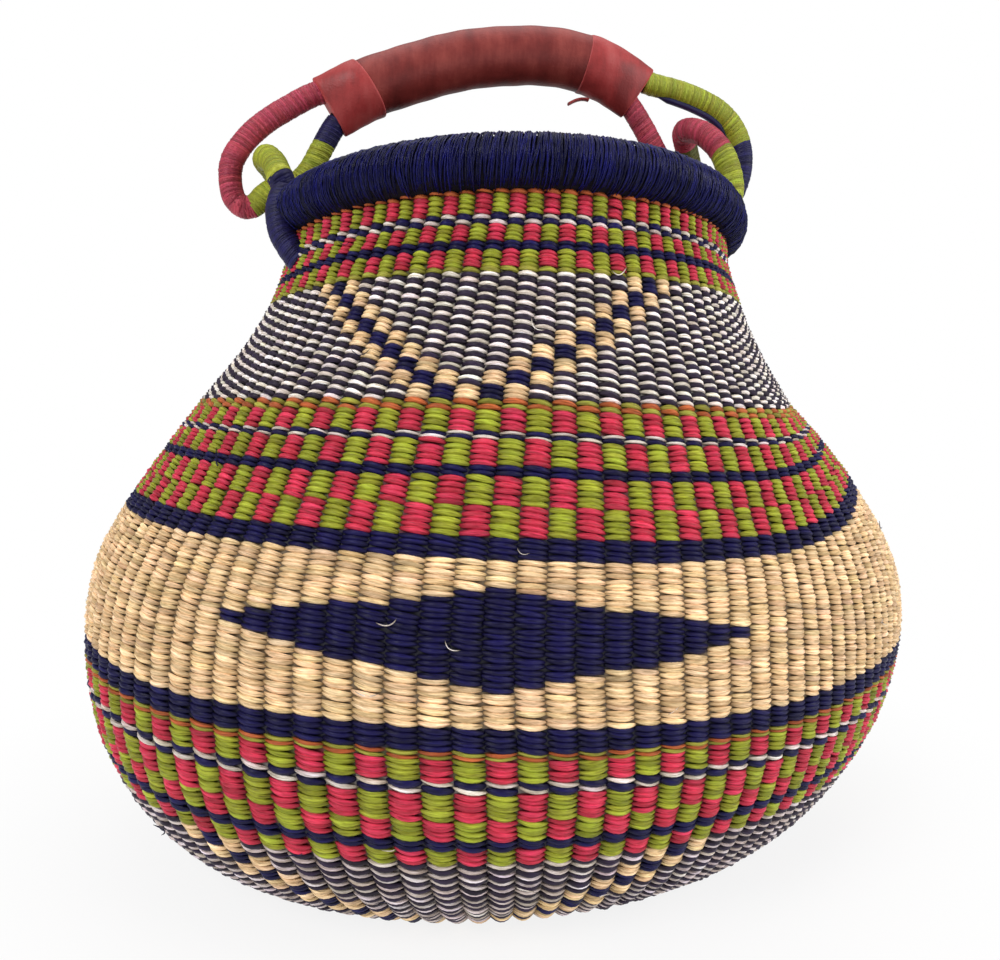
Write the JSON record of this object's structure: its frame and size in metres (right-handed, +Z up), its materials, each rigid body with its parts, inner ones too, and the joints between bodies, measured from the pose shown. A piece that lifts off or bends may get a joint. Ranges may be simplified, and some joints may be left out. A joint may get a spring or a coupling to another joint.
{
  "type": "woven basket",
  "caption": "Pot-shaped woven grass basket with a whipped rim, an ear at each end and a leather-gripped handle whose rope loops are linked under the ears.",
  "frame": {"origin": "middle of the flat base, on the surface that the basket stands on", "axes": "+Z up through the mouth; X runs from one handle ear to the other and is the direction in which the handle reaches across; the handle swings about a line along X"},
  "size_m": [0.4333, 0.3434, 0.4121],
  "materials": {
    "natural_straw": "matte natural grass",
    "navy_straw": "dyed grass with a slight sheen",
    "green_straw": "matte dyed grass",
    "red_straw": "matte dyed grass",
    "olive_straw": "matte dyed grass",
    "grass_core": "matte bundled grass",
    "red_leather": "worn, semi-matte",
    "collar_leather": "worn, semi-matte"
  },
  "bodies": {
    "pot": {"woven_pot": "natural_straw", "rim_core": "grass_core", "rim_whipping_navy": "navy_straw", "left_ear_core": "grass_core", "left_ear_near_foot_navy": "navy_straw", "left_ear_arch_green": "green_straw", "left_ear_far_foot_navy": "navy_straw", "right_ear_core": "grass_core", "right_ear_near_foot_green": "green_straw", "right_ear_arch_red": "red_straw", "right_ear_far_foot_olive": "olive_straw"},
    "handle": {"handle_core": "grass_core", "left_inner_leg_navy": "navy_straw", "left_link_green": "green_straw", "left_outer_leg_red": "red_straw", "right_inner_leg_red": "red_straw", "right_link_navy": "navy_straw", "right_outer_leg_green": "green_straw", "leather_grip": "red_leather", "left_leather_collar": "collar_leather", "right_leather_fork": "collar_leather", "leather_tie_end": "collar_leather"}
  },
  "joints": [
    {"name": "handle_swing", "type": "hinge", "parent": "pot", "child": "handle", "pos_m": [0, 0, 0.32495], "axis": [1, 0, 0], "range_deg": [-65, 65]}
  ]
}
